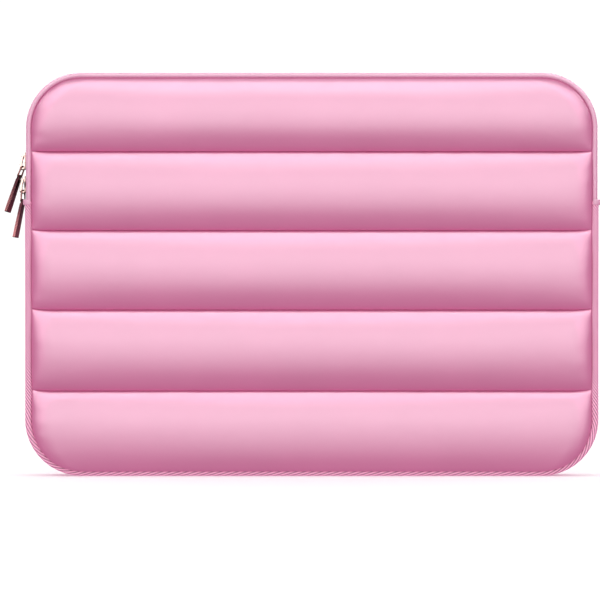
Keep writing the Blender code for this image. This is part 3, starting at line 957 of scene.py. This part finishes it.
def make_slider(word, nose_up, material):
    """Two plates joined by a post, with side flanges and a crown for the pull."""
    low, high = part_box("zip_slider_" + word)
    length = high[2] - low[2]
    face = low[0] + 2.7 * MM  # outer plate's face, under the crown
    nose, tail = 4.3 * MM, 3.1 * MM
    half_sketch = [(nose, 0), (nose, 0.42), (tail, 0.62), (tail, 1)]
    sketch = [(-y, s) for y, s in half_sketch] + half_sketch[::-1]
    corners = [(y, low[2] + length * (1 - s if nose_up else s)) for y, s in sketch]
    if nose_up:
        corners = corners[::-1]
    shape = rounded_outline(corners, 1.0 * MM)
    plate, slot = 1.0 * MM, 3.4 * MM
    plate_middles = {"outer": face + plate / 2, "inner": face + plate * 1.5 + slot}
    pieces = [smooth_curve_object(name, shape, plate, 0.3 * MM, material, standing(x))
              for name, x in plate_middles.items()]
    post_z = high[2] - 2.2 * MM if nose_up else low[2] + 2.2 * MM
    post = [(x, post_z) for x in plate_middles.values()]
    pieces.append(strap("post", post, 1.1 * MM, 2.95 * MM, material))
    for side in (-1, 1):
        for x in (face + plate + 0.2 * MM, face + plate + slot - 0.2 * MM):
            rail = [(x, low[2] + length * a) for a in (0.12, 0.5, 0.88)]
            flange = strap("flange", rail, 0.7 * MM, 0.6 * MM, material)
            flange.data.transform(Matrix.Translation((0, side * 2.75 * MM, 0)))
            pieces.append(flange)
    arch = [(0.2, 0.6), (1.8, 0.9), (2.05, 2.6), (1.95, 4.6), (1.0, 8.2), (0.2, 9.6)]
    centre_line = smooth_path([(face - rise * MM, low[2] + along * MM) for rise, along in arch], 6)
    pieces.append(strap("crown", centre_line, 2.6 * MM, 1.9 * MM, material))
    slider = joined("slider_body_" + word, pieces)
    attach(slider, "slider_" + word)
    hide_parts("zip_slider_" + word)


def link_frame(word):
    """(upper pivot, lower pivot) of a pull's link."""
    return [Vector(JOINTS[f"{kind}_{word}_swing"]["pos_m"]) for kind in ("link", "blade")]


def make_link(word, material):
    top, bottom = link_frame(word)
    down = (bottom - top).normalized()
    half, radius, cut = 2.4 * MM, 0.55 * MM, 1.1 * MM
    length = (bottom - top).length
    corners = [(half * 0.75, 0), (half, length), (-half, length), (-half * 0.75, 0)]
    loop = rounded_outline(corners, cut, 6)
    across = Matrix.Rotation(math.radians(LINK_TURN), 3, down) @ Vector((0, 1, 0))
    centres = [top + across * y + down * d for y, d in loop]
    rows = []
    for i, centre in enumerate(centres):
        tangent = (centres[(i + 1) % len(centres)] - centres[i - 1]).normalized()
        normal = tangent.cross(down.cross(across)).normalized()
        binormal = tangent.cross(normal)
        for k in range(12):
            turn = 2 * math.pi * k / 12
            rows.append(centre + radius * (normal * math.cos(turn) + binormal * math.sin(turn)))
    count = len(centres)
    faces = grid_faces(count, 12, wrap=True)
    last = (count - 1) * 12
    faces += [(last + k, last + (k + 1) % 12, (k + 1) % 12, k) for k in range(12)]
    link = add_mesh("link_ring_" + word, [tuple(r) for r in rows], faces, material, 60)
    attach(link, "link_" + word)
    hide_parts("pull_link_" + word)


def blade_direction(word):
    """Unit vector down the blade, from its CAD box and pivot."""
    _, pivot = link_frame(word)
    low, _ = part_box("pull_blade_" + word)
    half = 1.45 * MM
    end_x = low[0] - pivot.x + half
    end_z = low[2] - pivot.z
    return Vector((end_x, 0, end_z)).normalized()


def make_blade(word, materials):
    """A flat bar that widens downwards, with a milled rim and an eye at its top."""
    _, pivot = link_frame(word)
    down = blade_direction(word)
    out = Vector((0, 1, 0)).cross(down)
    turn = Matrix.Rotation(math.radians(BLADE_TURNS[word]), 3, down)
    thin_way, wide_way = turn @ out, turn @ Vector((0, 1, 0))
    half, bevel = 1.05 * MM, 0.3 * MM
    start, length = 1.2 * MM, 24.4 * MM - 1.45 * MM
    bar_rings = 96
    rows = []
    for i in range(bar_rings + 1):
        t = i / bar_rings
        along = start + (length - start) * t
        wide = (2.0 + 0.85 * min(1, t * 1.3)) * MM
        end = 0.82 if i in (0, bar_rings) else 1
        milled = 0.07 * MM * (0.5 + 0.5 * math.sin(2 * math.pi * along / (0.9 * MM)))
        rim, flat = wide - milled, half - bevel
        section = [
            (-half, bevel - wide), (-flat, -rim), (flat, -rim),
            (half, bevel - wide), (half - 0.12 * MM, 0.15 * wide), (half, wide - bevel),
            (flat, rim), (-flat, rim), (-half, wide - bevel),
        ]
        for a, b in section:
            rows.append(pivot + down * along + thin_way * a * end + wide_way * b * end)
    bar = add_mesh("bar", [tuple(r) for r in rows], tube_faces(bar_rings + 1, 9), materials[0], 25)
    eye, neck_half = 1.7 * MM, 0.8 * MM
    arc = [(eye * math.cos(math.pi * k / 16), eye * math.sin(math.pi * k / 16)) for k in range(17)]
    neck_outline = arc + [(-eye, -2.6 * MM), (eye, -2.6 * MM)]
    axes = Matrix((
        (wide_way.x, -down.x, thin_way.x, pivot.x),
        (wide_way.y, -down.y, thin_way.y, pivot.y),
        (wide_way.z, -down.z, thin_way.z, pivot.z),
        (0, 0, 0, 1),
    ))
    neck = smooth_curve_object("neck", neck_outline, 2 * neck_half, 0.25 * MM, materials[0], axes)
    hole = add_hole_cutter(axes, 0.8 * MM)
    cut = neck.modifiers.new("eye", "BOOLEAN")
    cut.operation = "DIFFERENCE"
    cut.object = hole
    bpy.context.view_layer.update()
    graph = bpy.context.evaluated_depsgraph_get()
    mesh = bpy.data.meshes.new_from_object(neck.evaluated_get(graph))
    neck.modifiers.clear()
    neck.data = mesh
    bpy.data.objects.remove(hole, do_unlink=True)
    blade = joined("pull_bar_" + word, [bar, neck])
    for material in materials[1:]:
        blade.data.materials.append(material)
    # painted reflection: the flat side facing thin_way is split lengthwise, one half lit (face
    # paint), the other dark (bevel paint)
    for polygon in blade.data.polygons:
        inward = polygon.normal.dot(thin_way)
        if inward > 0.9:
            polygon.material_index = 1 if (polygon.center - pivot).dot(wide_way) < 0 else 2
    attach(blade, "blade_" + word)
    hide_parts("pull_blade_" + word)


def add_hole_cutter(axes, radius):
    bm = bmesh.new()
    bmesh.ops.create_cone(bm, cap_ends=True, segments=32,
                          radius1=radius, radius2=radius, depth=8 * MM)
    bmesh.ops.transform(bm, verts=bm.verts, matrix=axes)
    mesh = bpy.data.meshes.new("hole")
    bm.to_mesh(mesh)
    bm.free()
    obj = bpy.data.objects.new("hole", mesh)
    bpy.context.scene.collection.objects.link(obj)
    return obj


# ---- stage, light and camera --------------------------------------------------------------
def make_floor():
    bpy.ops.mesh.primitive_plane_add(size=40, location=(0, 0, -0.0002))
    floor = bpy.context.object
    floor.name = "floor"
    floor.data.materials.append(floor_paper())
    floor.visible_diffuse = False
    floor.visible_glossy = False


def softbox(name, azimuth, elevation, size, power):
    """A soft light seen only in reflections. azimuth 0 is in front, elevation 90 overhead."""
    light = bpy.data.lights.new(name, "AREA")
    light.shape = "RECTANGLE"
    light.size, light.size_y = size
    light.energy = power
    turn, rise = math.radians(azimuth), math.radians(elevation)
    level = math.cos(rise)
    away = Vector((math.sin(turn) * level, -math.cos(turn) * level, math.sin(rise)))
    obj = bpy.data.objects.new(name, light)
    obj.location = Vector((0, 0, HEIGHT / 2)) + away * SOFTBOX_DISTANCE
    obj.rotation_euler = away.to_track_quat("Z", "Y").to_euler()
    obj.visible_camera = False
    obj.visible_diffuse = False
    bpy.context.scene.collection.objects.link(obj)


def make_world():
    """White all round for the eye and for soft light, and dim in reflections."""
    world = bpy.data.worlds.new("studio")
    world.use_nodes = True
    tree = world.node_tree
    path = tree.nodes.new("ShaderNodeLightPath")
    strength = spread(tree, path.outputs["Is Glossy Ray"], WORLD_LIGHT, WORLD_GLOSS)
    tree.links.new(strength, tree.nodes["Background"].inputs["Strength"])
    tree.nodes["Background"].inputs["Color"].default_value = (1, 1, 1, 1)
    bpy.context.scene.world = world


def make_lights():
    for word, facing in (("front", 0), ("back", 180)):
        for elevation, height, power in SOFTBOXES:
            softbox(f"{word}_{elevation}", facing, elevation, (SOFTBOX_WIDTH, height), power)


def make_camera():
    aim = Vector((-7.3 * MM, 0, 108.8 * MM))
    distance, elevation = 3.0, math.radians(1.0)
    frame_width = 373.2 * MM
    camera = bpy.data.cameras.new("camera")
    camera.sensor_width = 36
    camera.lens = 36 * distance / frame_width
    camera.clip_end = 100
    obj = bpy.data.objects.new("camera", camera)
    back, up = distance * math.cos(elevation), distance * math.sin(elevation)
    obj.location = aim + Vector((0, -back, up))
    obj.rotation_euler = (aim - obj.location).to_track_quat("-Z", "Y").to_euler()
    bpy.context.scene.collection.objects.link(obj)
    bpy.context.scene.camera = obj


def main():
    make_camera()
    make_floor()
    shell = satin_nylon()
    lip = twill("lip_cloth", LIP_PINK, 0.5 * MM, 0.55, 45)
    binding = twill("twill_tape", TWILL_PINK, 0.6 * MM, 0.7, -45, groove=TWILL_GROOVE_SHADE)
    tape = twill("zip_tape_cloth", TAPE_PINK, 0.55 * MM, 0.8, 30)
    lining = brushed_lining()
    thread = spun_thread()
    coil = nylon_coil()
    rose_gold = plated_metal("rose_gold", ROSE_GOLD, 0.28)
    link_gold = plated_metal("gold_painted_reflection_wire", WIRE_GOLD, 0.2)
    # one plating in copies with painted reflections, one copy for each part of the pull
    blade_reflection_paints = [plated_metal("gold_painted_reflection_" + part, colour, roughness, tip)
                   for part, colour, roughness, tip in BLADE_REFLECTION_PAINTS]
    make_panels(shell)
    make_edges(binding, lip)
    make_gusset(shell, lining)
    make_linings(lining)
    make_zip(tape, coil)
    make_end_tabs(lip)
    make_stitches(thread)
    for word, nose_up in (("upper", False), ("lower", True)):
        make_slider(word, nose_up, rose_gold)
        make_link(word, link_gold)
        make_blade(word, blade_reflection_paints)
    make_world()
    make_lights()
    bpy.context.scene.view_settings.view_transform = "Standard"
    bpy.context.scene.view_settings.look = "None"


main()
